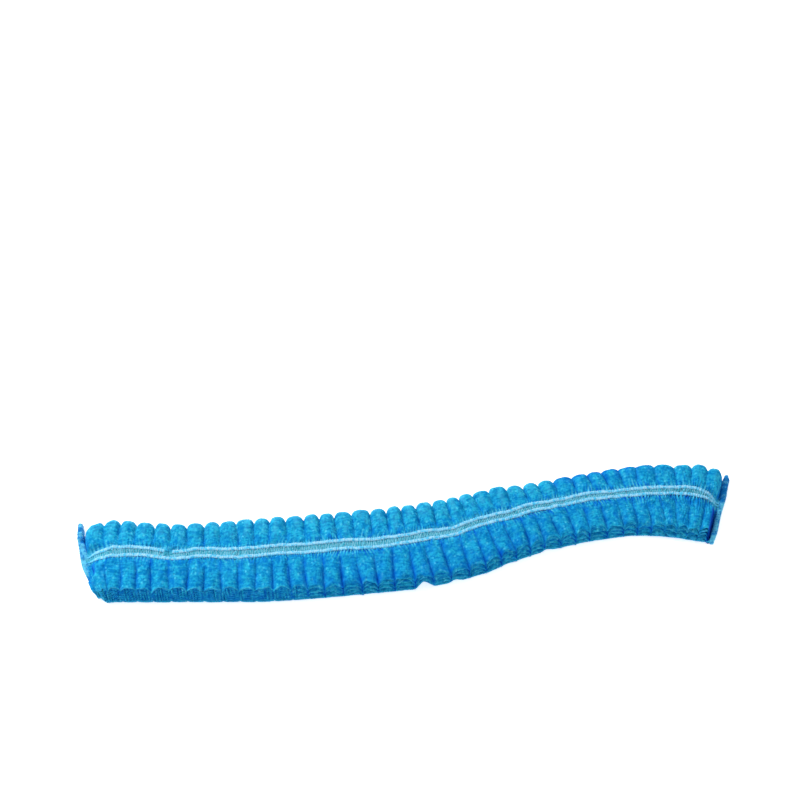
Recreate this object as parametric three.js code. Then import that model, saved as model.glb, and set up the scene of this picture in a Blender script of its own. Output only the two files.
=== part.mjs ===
import * as THREE from 'three';

// A disposable bouffant cap in its folded state: one web of non-woven cloth, folded to and fro
// into a flat stack, gathered lengthwise into cross ribs and fused at both ends.
// Millimetres, X along the strip, Y across it, Z up, the underside on Z = 0.

// Driving sizes
const stripLength = 241.2; // cloth between the two seals, along the middle line
const stripWidth = 31; // across the ribs
const ribPitch = 6.2; // mean distance from groove to groove
const grooveDepth = 2; // from the top of a rib down into a groove
const scallopDepth = 1.3; // how far a groove cuts in from the long edges
const clothWall = 1.2; // one crimped layer
const grooveGap = 0.2; // air between two layers under a groove
const backFolds = 2; // folds along the far edge, with as many along the near edge
const foldReach = 1.8; // from a fold's edge to where its layers lie flat
const frontSlope = 1.7; // the top layer's front edge lies this far behind the lowest one's
const edgeRound = 1.6; // rounding of the top layer's cut edge
const tapeWidth = 4.4;
const tapeWall = 0.4; // the web between the tape's two cords, and the whole lower tape
const cordHeight = 0.9;
const cordWidth = 1.2;
const tapeBank = 2.2; // slope of cloth from the tape up to the ribs
const tapeTaper = 7; // length over which the tape narrows to its fused end
const fit = 0.3; // clearance between two pieces
const sealWidth = 2.4; // along the strip
const sealSteps = 8; // straight pieces that a bowed seal is made of
const sealHeight = 4.6;
const pinchLength = 6; // length over which the stack thins towards a seal
const bowLength = 9; // length over which the cloth takes on its seal's bow

// Shares of the sizes above
const tapeDipShare = 0.5; // of the air between two layers
const tapeCalm = 0.25; // groove depth that is left at the tape
const tapeEndShare = 0.5; // of the tape's width
const pinchShare = 0.5; // of the stack's height, at a seal
const endRibCut = 0.16; // narrower ribs at the ends
const widthSwing = 0.026; // swing of the rib widths about their mean
const widthDrift = 0.014; // and a slower one
const heightSwing = 0.08; // of the groove depth, by which ribs are lower than the highest
const shoulderSink = 0.2; // groove depth a quarter pitch from the groove
const edgeDrop = 0.45; // of the wall, at the rounded cut edge

// Angles from rib to rib, in radians, of the waves that make the ribs uneven, and their starts
const widthWave = 0.5;
const widthStart = -0.51;
const driftWave = 0.15;
const driftStart = 0.47;
const heightWave = 2.7;

// The middle line seen from above, as shares of the strip's length
const bends = [
  { along: -0.5, aside: -0.052 },
  { along: -0.38, aside: -0.055 },
  { along: -0.22, aside: -0.05 },
  { along: -0.08, aside: -0.037 },
  { along: 0.05, aside: -0.02 },
  { along: 0.18, aside: 0.018 },
  { along: 0.3, aside: 0.042 },
  { along: 0.41, aside: 0.0535 },
  { along: 0.5, aside: 0.042 },
];

// Half widths along the strip, as shares of half the strip's width
const outline = [
  { along: 0, front: 0.98, back: 0.62 },
  { along: 0.02, front: 1.02, back: 0.95 },
  { along: 0.035, front: 1.03, back: 1 },
  { along: 0.08, front: 1.01, back: 0.96 },
  { along: 0.14, front: 1, back: 0.91 },
  { along: 0.2, front: 1.02, back: 0.96 },
  { along: 0.27, front: 1.06, back: 1.02 },
  { along: 0.48, front: 1.07, back: 1.02 },
  { along: 0.54, front: 1.05, back: 1.05 },
  { along: 0.6, front: 1.02, back: 1.01 },
  { along: 0.64, front: 0.94, back: 0.98 },
  { along: 0.72, front: 0.85, back: 0.86 },
  { along: 0.78, front: 0.81, back: 0.88 },
  { along: 0.83, front: 0.8, back: 0.9 },
  { along: 0.93, front: 0.89, back: 0.96 },
  { along: 0.97, front: 0.9, back: 1.05 },
  { along: 0.99, front: 0.9, back: 1.01 },
  { along: 1, front: 0.91, back: 0.88 },
];

// How far the tape lies behind the middle line, as shares of the strip's width
const tapePath = [
  { along: 0, aside: -0.026 },
  { along: 0.02, aside: 0.013 },
  { along: 0.035, aside: 0.045 },
  { along: 0.09, aside: 0.042 },
  { along: 0.135, aside: 0.018 },
  { along: 0.17, aside: 0.032 },
  { along: 0.235, aside: 0.003 },
  { along: 0.3, aside: 0.035 },
  { along: 0.34, aside: 0.023 },
  { along: 0.44, aside: 0.01 },
  { along: 0.49, aside: 0.016 },
  { along: 0.53, aside: 0.039 },
  { along: 0.565, aside: 0.023 },
  { along: 0.61, aside: 0.058 },
  { along: 0.64, aside: 0.065 },
  { along: 0.67, aside: 0.042 },
  { along: 0.715, aside: 0.048 },
  { along: 0.745, aside: 0.071 },
  { along: 0.91, aside: 0.068 },
  { along: 0.96, aside: 0.094 },
  { along: 0.98, aside: 0.071 },
  { along: 1, aside: 0.026 },
];

// How far the ribs lean from square to the middle line, seen from above in degrees. The first and
// last rows are the slants of the fused ends.
const leans = [
  { along: 0, lean: 21 },
  { along: 0.017, lean: 12 },
  { along: 0.037, lean: 7.5 },
  { along: 0.06, lean: 6 },
  { along: 0.12, lean: 5 },
  { along: 0.18, lean: 3 },
  { along: 0.3, lean: 1.2 },
  { along: 0.45, lean: 1.7 },
  { along: 0.6, lean: 1.9 },
  { along: 0.66, lean: 3 },
  { along: 0.7, lean: 5 },
  { along: 0.76, lean: 6 },
  { along: 0.83, lean: 4.8 },
  { along: 0.93, lean: 3.4 },
  { along: 0.965, lean: 0.8 },
  { along: 0.985, lean: -5 },
  { along: 1, lean: -11 },
];

// The fused ends: length to the front and back and bow, as shares of the strip's width
const ends = [
  { name: 'end_seal_left', side: -1, front: 0.49, back: 0.54, bow: 0.05 },
  { name: 'end_seal_right', side: 1, front: 0.47, back: 0.52, bow: 0 },
];

const layers = 2 * backFolds + 1;
const lowWall = clothWall + tapeWall; // the lowest layer holds the lower tape's channel
const ribGap = grooveGap + grooveDepth / (layers - 1);
const stackHeight = (layers - 1) * (clothWall + ribGap) + lowWall;
const tapeDip = tapeDipShare * ribGap;
const channelHalf = tapeWidth / 2 + fit;

// Height of a layer's upper and lower face at a rib, layer 0 being the top one
const upperFace = (layer) => stackHeight - layer * (clothWall + ribGap);
const lowerFace = (layer) => (layer === layers - 1 ? 0 : upperFace(layer) - clothWall);
const sinkOf = (layer) => 1 - layer / (layers - 1);
const smooth = (t) => THREE.MathUtils.smoothstep(t, 0, 1);

function readTable(table, column, along) {
  const next = table.findIndex((row) => row.along >= along);
  if (next < 0) return table.at(-1)[column];
  if (next === 0) return table[0][column];
  const [from, to] = [table[next - 1], table[next]];
  const share = smooth((along - from.along) / (to.along - from.along));
  return from[column] + share * (to[column] - from[column]);
}

const unitLine = new THREE.CatmullRomCurve3(
  bends.map(({ along, aside }) => new THREE.Vector3(along, aside, 0)),
);
const lineScale = stripLength / unitLine.getLength();

// Middle line at a distance s from the left end of the cloth, straight on beyond both ends
function middleAt(s) {
  const share = THREE.MathUtils.clamp(s / stripLength, 0, 1);
  const heading = unitLine.getTangentAt(share);
  const point = unitLine.getPointAt(share).multiplyScalar(lineScale);
  point.addScaledVector(heading, s - share * stripLength);
  return { point, angle: Math.atan2(heading.y, heading.x) };
}

// One place in the strip: s along it, across it (back is positive) and up
function place(s, across, up) {
  const { point, angle } = middleAt(s);
  const turn = angle + THREE.MathUtils.degToRad(readTable(leans, 'lean', s / stripLength));
  let bow = 0;
  for (const end of ends) {
    const inward = end.side < 0 ? s : stripLength - s;
    const near = 1 - smooth(inward / bowLength);
    bow += near * end.side * end.bow * stripWidth * (1 - (2 * across / stripWidth) ** 2);
  }
  return new THREE.Vector3(
    point.x - across * Math.sin(turn) + bow * Math.cos(turn),
    point.y + across * Math.cos(turn) + bow * Math.sin(turn),
    up,
  );
}

// Share of the stack's height that is left towards the seals
function pinchAt(s) {
  const nearest = Math.min(s, stripLength - s);
  return pinchShare + (1 - pinchShare) * smooth(nearest / pinchLength);
}

// Stations along the strip: a groove, a shoulder, a crest and a shoulder for each rib
function makeStations() {
  const count = Math.round(stripLength / ribPitch);
  const widths = Array.from({ length: count }, (_, rib) => (
    1 - endRibCut * Math.abs(2 * rib / (count - 1) - 1) ** 6
    + widthSwing * Math.sin(widthWave * rib + widthStart)
    + widthDrift * Math.sin(driftWave * rib + driftStart)
  ));
  const total = widths.reduce((sum, width) => sum + width, 0);
  const stations = [];
  let start = 0;
  widths.forEach((share, rib) => {
    const width = share * stripLength / total;
    const low = heightSwing * (1 + Math.sin(heightWave * rib));
    stations.push({ s: start, sink: 1 });
    stations.push({ s: start + width / 4, sink: low + shoulderSink });
    stations.push({ s: start + width / 2, sink: low });
    stations.push({ s: start + 3 * width / 4, sink: low + shoulderSink });
    start += width;
  });
  stations.push({ s: stripLength, sink: 1 });
  return stations;
}

// Cross section of the folded sheet, once round it. Across is a reach in from the front or back
// edge, or a distance from the tape. Sink is the share of a groove's depth that a point takes.
function crownSection() {
  const section = [];
  const add = (edge, reach, up, sink) => section.push({ edge, reach, up, sink });
  const middle = (layer) => (lowerFace(layer) + upperFace(layer + 1)) / 2;
  const middleSink = (layer) => (sinkOf(layer) + sinkOf(layer + 1)) / 2;
  const foldOutside = (edge, layer, downwards) => {
    const turn = [
      [foldReach, upperFace(layer), sinkOf(layer)],
      [0, middle(layer), middleSink(layer)],
      [foldReach, lowerFace(layer + 1), sinkOf(layer + 1)],
    ];
    if (!downwards) turn.reverse();
    turn.forEach(([reach, up, sink]) => add(edge, reach, up, sink));
  };
  const foldInside = (edge, layer) => add(edge, clothWall, middle(layer), middleSink(layer));

  add('front', 0, upperFace(0) - edgeDrop * clothWall, 1);
  add('front', edgeRound, upperFace(0), 1);
  add('tape', -channelHalf - tapeBank, upperFace(0), 1);
  add('tape', -channelHalf, upperFace(0) - tapeDip, tapeCalm);
  add('tape', channelHalf, upperFace(0) - tapeDip, tapeCalm);
  add('tape', channelHalf + tapeBank, upperFace(0), 1);
  for (let layer = 0; layer < layers - 1; layer += 2) {
    foldOutside('back', layer, true);
    foldInside('front', layer + 1);
  }
  add('back', 0, upperFace(layers - 1), 0);
  add('back', 0, 0, 0);
  add('tape', channelHalf, 0, 0);
  add('tape', channelHalf, tapeWall + fit, 0);
  add('tape', -channelHalf, tapeWall + fit, 0);
  add('tape', -channelHalf, 0, 0);
  for (let layer = layers - 2; layer > 0; layer -= 2) {
    foldOutside('front', layer, false);
    foldInside('back', layer - 1);
  }
  add('tape', channelHalf, lowerFace(0) - tapeDip, tapeCalm);
  add('tape', -channelHalf, lowerFace(0) - tapeDip, tapeCalm);
  add('front', 0, lowerFace(0), 1);
  return section;
}

const tapeMiddle = (s) => readTable(tapePath, 'aside', s / stripLength) * stripWidth;

// Distance across the strip of a section point at one station
function acrossAt(point, { s, sink }) {
  if (point.edge === 'tape') return tapeMiddle(s) + point.reach;
  const half = readTable(outline, point.edge, s / stripLength) * stripWidth / 2;
  const inset = half - point.reach - scallopDepth * sink;
  return point.edge === 'front' ? frontSlope * point.sink - inset : inset;
}

// Height of a point that takes a share of the station's groove depth
function upAt(up, sinkShare, { s, sink }) {
  return (up - grooveDepth * sink * sinkShare) * pinchAt(s);
}

// A closed solid through rings of points. The cap's triangles run the same way round as a ring.
function loft(rings, capFaces) {
  const size = rings[0].length;
  const last = (rings.length - 1) * size;
  const index = [];
  for (let ring = 0; ring < rings.length - 1; ring += 1) {
    for (let i = 0; i < size; i += 1) {
      const a = ring * size + i;
      const b = ring * size + ((i + 1) % size);
      index.push(a, b + size, b, a, a + size, b + size);
    }
  }
  for (const [a, b, c] of capFaces) {
    index.push(a, b, c, last + a, last + c, last + b);
  }
  const geometry = new THREE.BufferGeometry().setFromPoints(rings.flat());
  geometry.setIndex(index);
  geometry.computeVertexNormals();
  return geometry;
}

// Clockwise triangles that fill a clockwise outline given as pairs of numbers
function fillOutline(pairs) {
  const outlinePoints = pairs.map(([across, up]) => new THREE.Vector2(across, up));
  const faces = THREE.ShapeUtils.triangulateShape(outlinePoints, []);
  return faces.map(([a, b, c]) => [a, c, b]);
}

function makeCrown(stations) {
  const section = crownSection();
  const rings = stations.map((station) => section.map((point) => (
    place(station.s, acrossAt(point, station), upAt(point.up, point.sink, station))
  )));
  const cap = section.map((point) => [
    acrossAt(point, stations[0]), upAt(point.up, point.sink, stations[0]),
  ]);
  return loft(rings, fillOutline(cap));
}

// A tape is carried along the strip. It narrows to its fused ends.
function makeTape(stations, section, bottom, sinkShare) {
  const widthAt = (s) => {
    const nearest = Math.min(s, stripLength - s);
    return tapeEndShare + (1 - tapeEndShare) * smooth(nearest / tapeTaper);
  };
  const rings = stations.map((station) => section.map(([across, up]) => (
    place(station.s, tapeMiddle(station.s) + across * widthAt(station.s), upAt(bottom + up, sinkShare, station))
  )));
  return loft(rings, fillOutline(section));
}

function makeTopTape(stations) {
  const half = tapeWidth / 2;
  const inner = half - cordWidth;
  const section = [
    [-half, 0], [-half, cordHeight], [-inner, cordHeight], [-inner, tapeWall],
    [inner, tapeWall], [inner, cordHeight], [half, cordHeight], [half, 0],
  ];
  return makeTape(stations, section, upperFace(0) - tapeDip + fit, tapeCalm / 2);
}

function makeBottomTape(stations) {
  const half = tapeWidth / 2;
  const section = [[-half, 0], [-half, tapeWall], [half, tapeWall], [half, 0]];
  return makeTape(stations.filter((_, index) => index % 2 === 0), section, 0, 0);
}

// The fused end, a bar across the strip that is about as high as the pinched stack beside it
function makeSeal({ side, front, back }) {
  const inner = side < 0 ? -fit : stripLength + fit;
  const outer = inner + side * sealWidth;
  const rings = Array.from({ length: sealSteps + 1 }, (_, step) => {
    const across = stripWidth * (-front + (front + back) * step / sealSteps);
    const [low, high] = side < 0 ? [outer, inner] : [inner, outer];
    return [[low, 0], [high, 0], [high, sealHeight], [low, sealHeight]]
      .map(([s, up]) => place(s, across, up));
  });
  return loft(rings, [[0, 1, 2], [0, 2, 3]]);
}

const cloth = { color: 0x2aa3dc, roughness: 0.85, metalness: 0 };
const yarn = { color: 0xdcebf0, roughness: 0.8, metalness: 0 };
const fused = { color: 0x2b95d2, roughness: 0.55, metalness: 0 };

const cap = new THREE.Group();

function addPiece(name, geometry, look) {
  const piece = new THREE.Mesh(geometry, new THREE.MeshStandardMaterial(look));
  piece.name = name;
  cap.add(piece);
}

const stations = makeStations();
addPiece('crown', makeCrown(stations), cloth);
addPiece('elastic_top', makeTopTape(stations), yarn);
addPiece('elastic_bottom', makeBottomTape(stations), yarn);
for (const end of ends) addPiece(end.name, makeSeal(end), fused);

// The origin is under the middle of the whole strip's box
const box = new THREE.Box3().setFromObject(cap);
const centre = box.getCenter(new THREE.Vector3());
cap.position.set(-centre.x, -centre.y, -box.min.z);

export default cap;
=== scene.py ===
import math

import bpy
import numpy as np
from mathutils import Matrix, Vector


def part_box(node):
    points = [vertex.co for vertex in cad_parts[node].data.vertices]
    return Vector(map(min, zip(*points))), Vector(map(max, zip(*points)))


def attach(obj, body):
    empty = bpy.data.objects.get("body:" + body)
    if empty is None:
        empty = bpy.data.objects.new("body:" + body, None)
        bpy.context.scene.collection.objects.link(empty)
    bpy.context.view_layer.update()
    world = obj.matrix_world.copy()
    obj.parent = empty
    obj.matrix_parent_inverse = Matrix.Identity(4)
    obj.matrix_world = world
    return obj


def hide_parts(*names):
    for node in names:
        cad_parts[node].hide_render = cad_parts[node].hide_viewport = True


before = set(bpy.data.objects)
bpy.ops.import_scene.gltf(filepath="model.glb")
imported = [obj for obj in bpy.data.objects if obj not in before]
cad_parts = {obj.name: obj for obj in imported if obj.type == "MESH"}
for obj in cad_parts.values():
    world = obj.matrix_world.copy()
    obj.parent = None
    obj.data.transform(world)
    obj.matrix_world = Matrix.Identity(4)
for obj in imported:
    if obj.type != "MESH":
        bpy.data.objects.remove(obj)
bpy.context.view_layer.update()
scene = bpy.context.scene
print("frame loaded")

# Metres throughout: X along the strip, Y away from the camera, Z up from the floor.

# The lying strip that every piece shares. A swing of soft noise is given as its height and
# its sizes, along the strip and across it.
strip = {
    "length": 0.2412,  # cloth from seal to seal, along the middle line
    "width": 0.031,
    "height": 0.0092,  # top of the ribs
    "ribPitch": 0.0062,
    "endRibCut": 0.16,  # narrower ribs at the ends
    "drift": (0.014, 0.15, 0.47),  # slow swing of the rib widths: share, pace and phase
    "unevenness": (0.026, 0.5, -0.51),  # quicker swing
    "heightSwing": (0.08, 2.7),  # of the crests: share and pace
    "grooveDepth": 0.0016,
    "depthSwing": (0.24, 0.01, 0.009),
    "grooveReach": 0.9,  # share of the arch that a rib shows, 1 meets the groove upright
    "archPower": 2.15,  # 2 is a round arch, more a flatter one
    "grooveWander": (0.00036, 0.011, 0.012),
    "wanderFrom": 0.006,  # distance from a seal at which the grooves wander fully
    "frontDeeper": 0.5,  # the grooves deepen towards the front
    "frontPower": 1.5,
    "leftCalm": 0.65,  # share of the first grooves that is flattened by the left seal
    "leftCalmFrom": 0.003,
    "leftCalmLength": 0.01,
    "endPleats": 0.032,  # length at the right seal where the ribs break up into pleats
    "pleatStart": 0.012,
    "pleatCalm": (0.25, 0.2),  # share of the grooves that is flattened there, and more in front
    "frontSlope": 0.0017,  # the top layer's front edge lies this far behind the lowest one's
    "notchPower": 0.7,  # less than 1 lets the notches in the foot reach further up
    "scallop": 0.0018,  # how far a groove cuts in from the long edges
    "frontBulge": (0.2, 0.4),  # share by which it bulges at the front, and more where loose
    "tipBluntness": 1.6,  # 1 gives round tips, more gives flatter ones
    "backDroop": 0.0019,  # the ribs' ends round off downwards
    "backReach": 0.0045,
    "frontDroop": 0.0004,
    "frontReach": 0.004,
    "looseDroop": 0.0009,  # more of it where the front is loose
    "looseStart": 0.062,  # the front is pressed straight up to here
    "looseLength": 0.03,
    "sealFit": 0.0003,
    "sealWidth": 0.0024,
    "sealHeight": 0.0046,
    "intoSeal": 0.0012,  # how far the cloth runs into a seal
    "creaseShare": 0.17,  # height left in the crease beside a seal
    "creaseBack": 0.28,  # more of it behind the tape
    "creaseBackFrom": 0.006,  # distance behind the tape with all of that
    "creaseLength": 0.003,
    "swellFrom": 0.2,  # share of the width from which the front corner swells over the left seal
    "swellFade": 0.15,
    "swellReach": 0.0021,
    "swellLength": 0.005,
    "swellTip": (0.38, 0.12, 0.5),  # less of it at the very tip: from, fade and share
    "swellShare": 0.36,
    "tapeEndShare": 0.5,  # height left where the tape runs into a seal
    "tapeEndLength": 0.0075,
    "tapeBridge": 0.0026,  # distance from the tape to the creases
    "bowLength": 0.009,  # length over which the cloth takes on its seal's bow
}
stripLength, stripWidth = strip["length"], strip["width"]
bends = np.array([  # middle line seen from above: along, aside, shares of the length
    (-0.5, -0.052), (-0.38, -0.055), (-0.22, -0.05), (-0.08, -0.037), (0.05, -0.02),
    (0.18, 0.018), (0.3, 0.042), (0.41, 0.0535), (0.5, 0.042),
])
outline = np.array([  # along the strip, then the front and back half widths as shares
    (0, 1.02, 0.73), (0.004, 1.11, 0.79), (0.01, 1.09, 0.87), (0.02, 1.07, 0.95), (0.035, 1.03, 1),
    (0.08, 1.01, 0.96), (0.14, 1, 0.91), (0.2, 1.02, 0.96), (0.27, 1.06, 1.02), (0.48, 1.07, 1.02),
    (0.54, 1.05, 1.05), (0.6, 1.02, 1.01), (0.64, 0.94, 0.98), (0.72, 0.85, 0.86), (0.78, 0.81, 0.88),
    (0.83, 0.8, 0.9), (0.93, 0.89, 0.96), (0.97, 0.9, 1.05), (0.99, 0.9, 1.01), (1, 0.91, 0.88),
])
leans = np.array([  # along the strip, then how many degrees the ribs lean from square to it
    (0, 21), (0.017, 12), (0.037, 7.5), (0.06, 6), (0.12, 5), (0.18, 3), (0.3, 1.2), (0.45, 1.7),
    (0.6, 1.9), (0.66, 3), (0.7, 5), (0.76, 6), (0.83, 4.8), (0.93, 3.4), (0.965, 0.8),
    (0.985, -5), (1, -11),
])
sealEnds = {  # reach to the front and back and bow, as shares of the width
    "end_seal_left": {"side": -1, "front": 0.49, "back": 0.54, "bow": 0.05},
    "end_seal_right": {"side": 1, "front": 0.47, "back": 0.52, "bow": 0},
}
sealSections = {  # from the front tip to the back one: place, thickness, height and paleness
    "end_seal_left": np.array([
        (0, 0.6, 0.45, 0), (0.2, 1, 0.6, 0.01), (0.4, 1.6, 0.95, 0.04), (0.55, 1.5, 1, 0.04),
        (0.8, 1.1, 1, 0.01), (0.94, 0.9, 0.9, 0), (1, 0.6, 0.6, 0),
    ]),
    "end_seal_right": np.array([
        (0, 0.7, 0.6, 0.05), (0.1, 0.95, 1, 0.01), (0.45, 0.9, 1, 0.01), (0.55, 1, 1, 0.05),
        (0.65, 1.15, 1, -0.07), (0.92, 1.2, 0.95, -0.06), (1, 0.7, 0.6, 0.03),
    ]),
}
tapePath = np.array([  # along, how far behind the middle line the tape lies and its cords' half gap
    (0, 0.004, 0.045), (0.02, 0.018, 0.05), (0.035, 0.045, 0.057), (0.09, 0.042, 0.05),
    (0.135, 0.018, 0.047), (0.17, 0.032, 0.048), (0.235, 0.003, 0.057), (0.3, 0.035, 0.055),
    (0.34, 0.023, 0.057), (0.44, 0.01, 0.055), (0.49, 0.016, 0.052), (0.53, 0.039, 0.056),
    (0.565, 0.023, 0.049), (0.61, 0.058, 0.048), (0.64, 0.065, 0.045), (0.67, 0.042, 0.045),
    (0.715, 0.048, 0.045), (0.745, 0.071, 0.043), (0.91, 0.068, 0.043), (0.96, 0.094, 0.05),
    (0.98, 0.071, 0.045), (1, 0.026, 0.04),
])
backScallop = np.array([  # along, share of the scallops that the back edge keeps
    (0, 1), (0.72, 1), (0.77, 0.2), (0.88, 0.25), (0.92, 0.6), (1, 0.9),
])
whiskerShare = np.array([  # along, how many pale gathers stand out beside the tape
    (0, 0.5), (0.22, 0.35), (0.34, 0.6), (0.4, 1), (0.46, 1), (0.52, 0.6), (0.66, 0.7), (0.8, 1), (1, 0.9),
])
footNotches = np.array([  # places along the front foot that stand back: along, depth, half width
    (0.5095, 0.0025, 0.0038), (0.553, 0.0009, 0.003), (0.705, 0.0007, 0.003),
])
cordHalf = 0.0006  # half the width of a cord


def ease(t):
    # cubic that leaves 0 and reaches 1 level: 3t^2 - 2t^3
    t = np.clip(t, 0, 1)
    return t * t * (3 - 2 * t)


def bell(x):
    # 1 in the middle, fading to both sides: exp(-x^2)
    return np.exp(-x ** 2)


def grow(least, t):
    # From the least share up to 1 while t goes from 0 to 1
    return least + (1 - least) * t


def fromSeal(s):
    # Distance along the strip to the nearer seal
    return np.minimum(s, stripLength - s)


def middleLine(steps=60):
    # Centripetal Catmull-Rom through the bends, each stretch blended by its chord lengths
    points = np.vstack([2 * bends[0] - bends[1], bends, 2 * bends[-1] - bends[-2]])
    p0, p1, p2, p3 = (points[i:len(points) - 3 + i, None] for i in range(4))
    d0, d1, d2 = (np.linalg.norm(b - a, axis=2, keepdims=True) ** 0.5
                  for a, b in ((p0, p1), (p1, p2), (p2, p3)))
    slope1 = ((p1 - p0) / d0 - (p2 - p0) / (d0 + d1) + (p2 - p1) / d1) * d1
    slope2 = ((p2 - p1) / d1 - (p3 - p1) / (d1 + d2) + (p3 - p2) / d2) * d1
    t = np.linspace(0, 1, steps, endpoint=False)[None, :, None]
    line = (p1 * (1 + t * t * (2 * t - 3)) + slope1 * t * (1 - t) ** 2
            + p2 * t * t * (3 - 2 * t) + slope2 * t * t * (t - 1))
    line = np.vstack([line.reshape(-1, 2), bends[-1]])
    reach = np.concatenate([[0], np.cumsum(np.hypot(*np.diff(line, axis=0).T))])
    scale = stripLength / reach[-1]
    heading = np.unwrap(np.arctan2(*np.gradient(line, axis=0).T[::-1]))
    return reach * scale, line * scale, heading


lineReach, linePoints, lineHeading = middleLine()
planShift = np.zeros(3)


def readTable(table, column, s):
    # Smooth steps between the rows of a table
    along, share = table[:, 0], np.clip(s / stripLength, 0, 1)
    row = np.clip(np.searchsorted(along, share, side="right") - 1, 0, len(along) - 2)
    step = ease((share - along[row]) / (along[row + 1] - along[row]))
    return table[row, column] * (1 - step) + table[row + 1, column] * step


def layDown(s, across, up):
    # Each point goes along the middle line by s, across it and up; the cross line leans, and
    # near an end it bows
    inner = np.clip(s, 0, stripLength)
    x = np.interp(inner, lineReach, linePoints[:, 0])
    y = np.interp(inner, lineReach, linePoints[:, 1])
    heading = np.interp(inner, lineReach, lineHeading)
    x = x + (s - inner) * np.cos(heading)
    y = y + (s - inner) * np.sin(heading)
    turn, bow = heading + np.radians(readTable(leans, 1, s)), 0 * s
    for end in sealEnds.values():
        inward = s if end["side"] < 0 else stripLength - s
        near = 1 - ease(inward / strip["bowLength"])
        depth = end["side"] * end["bow"] * stripWidth
        bow = bow + near * depth * (1 - (2 * across / stripWidth) ** 2)
    return np.stack([
        x - across * np.sin(turn) + bow * np.cos(turn),
        y + across * np.cos(turn) + bow * np.sin(turn),
        up + 0 * x,
    ], axis=-1) + planShift


def sealInner(end):
    # Place of a seal's inner face along the strip
    return -strip["sealFit"] if end["side"] < 0 else stripLength + strip["sealFit"]


def sealCorners(name):
    # The four lower corners of a seal's bar
    end = sealEnds[name]
    inner = sealInner(end)
    s = np.array([inner, inner + end["side"] * strip["sealWidth"]] * 2)
    across = stripWidth * np.array([-end["front"]] * 2 + [end["back"]] * 2)
    return layDown(s, across, 0 * s)


# The strip is slid to where the frame has its seals
planShift[0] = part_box("end_seal_right")[1].x - sealCorners("end_seal_right")[:, 0].max()
planShift[1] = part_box("end_seal_right")[0].y - sealCorners("end_seal_right")[:, 1].min()
print("middle line laid, slid by", np.round(planShift * 1000, 3), "mm")


def softNoise(seed, s, across, swing, waves=14):
    # Sum of plane waves with random heading and phase
    rng = np.random.default_rng(seed)
    height, alongSize, acrossSize = swing
    total = np.zeros(np.broadcast(s, across).shape)
    for angle, phase, pace in zip(rng.uniform(0, 2 * math.pi, waves), rng.uniform(0, 2 * math.pi, waves),
                                  rng.uniform(0.6, 1.4, waves)):
        kx = pace * math.cos(angle) * math.pi / alongSize
        ky = pace * math.sin(angle) * math.pi / acrossSize
        total += np.cos(kx * s + ky * across + phase)
    return height * (total / math.sqrt(waves / 2))


def waver(seed, s, swing):
    # Soft noise that changes along one direction only
    return softNoise(seed, s, 0 * s, (*swing, 1))


def ribTable():
    # Rib widths swing about their mean by two waves and shrink at the ends by the sixth power of
    # the distance from the middle; returns the grooves and the low crests
    count = round(stripLength / strip["ribPitch"])
    rib = np.arange(count)
    widths = 1 - strip["endRibCut"] * np.abs(2 * rib / (count - 1) - 1) ** 6
    for share, pace, phase in (strip["drift"], strip["unevenness"]):
        widths = widths + share * np.sin(pace * rib + phase)
    grooves = np.concatenate([[0], np.cumsum(widths)]) * stripLength / widths.sum()
    share, pace = strip["heightSwing"]
    return grooves, share * (1 + np.sin(pace * rib))


ribGrooves, ribLows = ribTable()


def ribSink(s, across):
    # Share of the groove depth: each rib is an arch of the given power between two sharp
    # grooves, whose lines wander a little from straight across
    def arch(x):
        return 1 - (1 - x ** strip["archPower"]) ** (1 / strip["archPower"])

    ends = ease(s / strip["wanderFrom"]) * ease((stripLength - s) / strip["wanderFrom"])
    s = np.clip(s + ends * softNoise(11, s, across, strip["grooveWander"]), 0, stripLength)
    rib = np.clip(np.searchsorted(ribGrooves, s, side="right") - 1, 0, len(ribLows) - 1)
    x = np.abs(2 * (s - ribGrooves[rib]) / (ribGrooves[rib + 1] - ribGrooves[rib]) - 1)
    return grow(ribLows[rib], arch(strip["grooveReach"] * x.clip(0, 1)) / arch(strip["grooveReach"]))


def halfWidth(s, side):
    # Distance from the middle line to the front (-1) or back (1) edge at the ribs
    return readTable(outline, 1 if side < 0 else 2, s) * stripWidth / 2


def cornerSwell(across):
    # 0 behind the middle, 1 at the front corners, where the cloth swells over the left seal
    return ease((-across / stripWidth - strip["swellFrom"]) / strip["swellFade"])


def tapeBridge(s, across):
    # 1 under the tape and beside it, where the cloth runs level into the seal instead of a crease
    return 1 - ease(tapeDistance(s, across) / strip["tapeBridge"])


def tapeEnd(s):
    # Height share at the tape: near a seal a quarter sine down to the seal's height
    near = np.clip(fromSeal(s) / strip["tapeEndLength"], 0, 1)
    return grow(strip["tapeEndShare"], np.sin(math.pi / 2 * near))


def pinch(s, across):
    # Height share: full along the strip, and near a seal a quarter ellipse down to the crease,
    # apart from the tape
    low = strip["creaseShare"] + strip["swellShare"] * cornerSwell(across) * (s < stripLength / 2)
    low = low + strip["creaseBack"] * ease((across - tapeMiddle(s)) / strip["creaseBackFrom"])
    rise = np.clip(fromSeal(s) / strip["creaseLength"], 0, 1)
    steep = grow(low, np.sqrt(1 - (1 - rise) ** 2))
    return steep + (tapeEnd(s) - steep) * tapeBridge(s, across)


def layCloth(s, across, up):
    # Lays a point of the crown, pushed over the left seal at the front corner, most behind its tip
    tipFrom, tipFade, tipShare = strip["swellTip"]
    tip = 1 - tipShare * ease((-across / stripWidth - tipFrom) / tipFade)
    push = strip["swellReach"] * cornerSwell(across) * tip * (1 - ease(s / strip["swellLength"]))
    return layDown(s - push, across, up)


def looseShare(s):
    # 0 where the front folds are pressed into a straight wall, 1 where they curl freely
    return ease((s - strip["looseStart"]) / strip["looseLength"])


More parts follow.
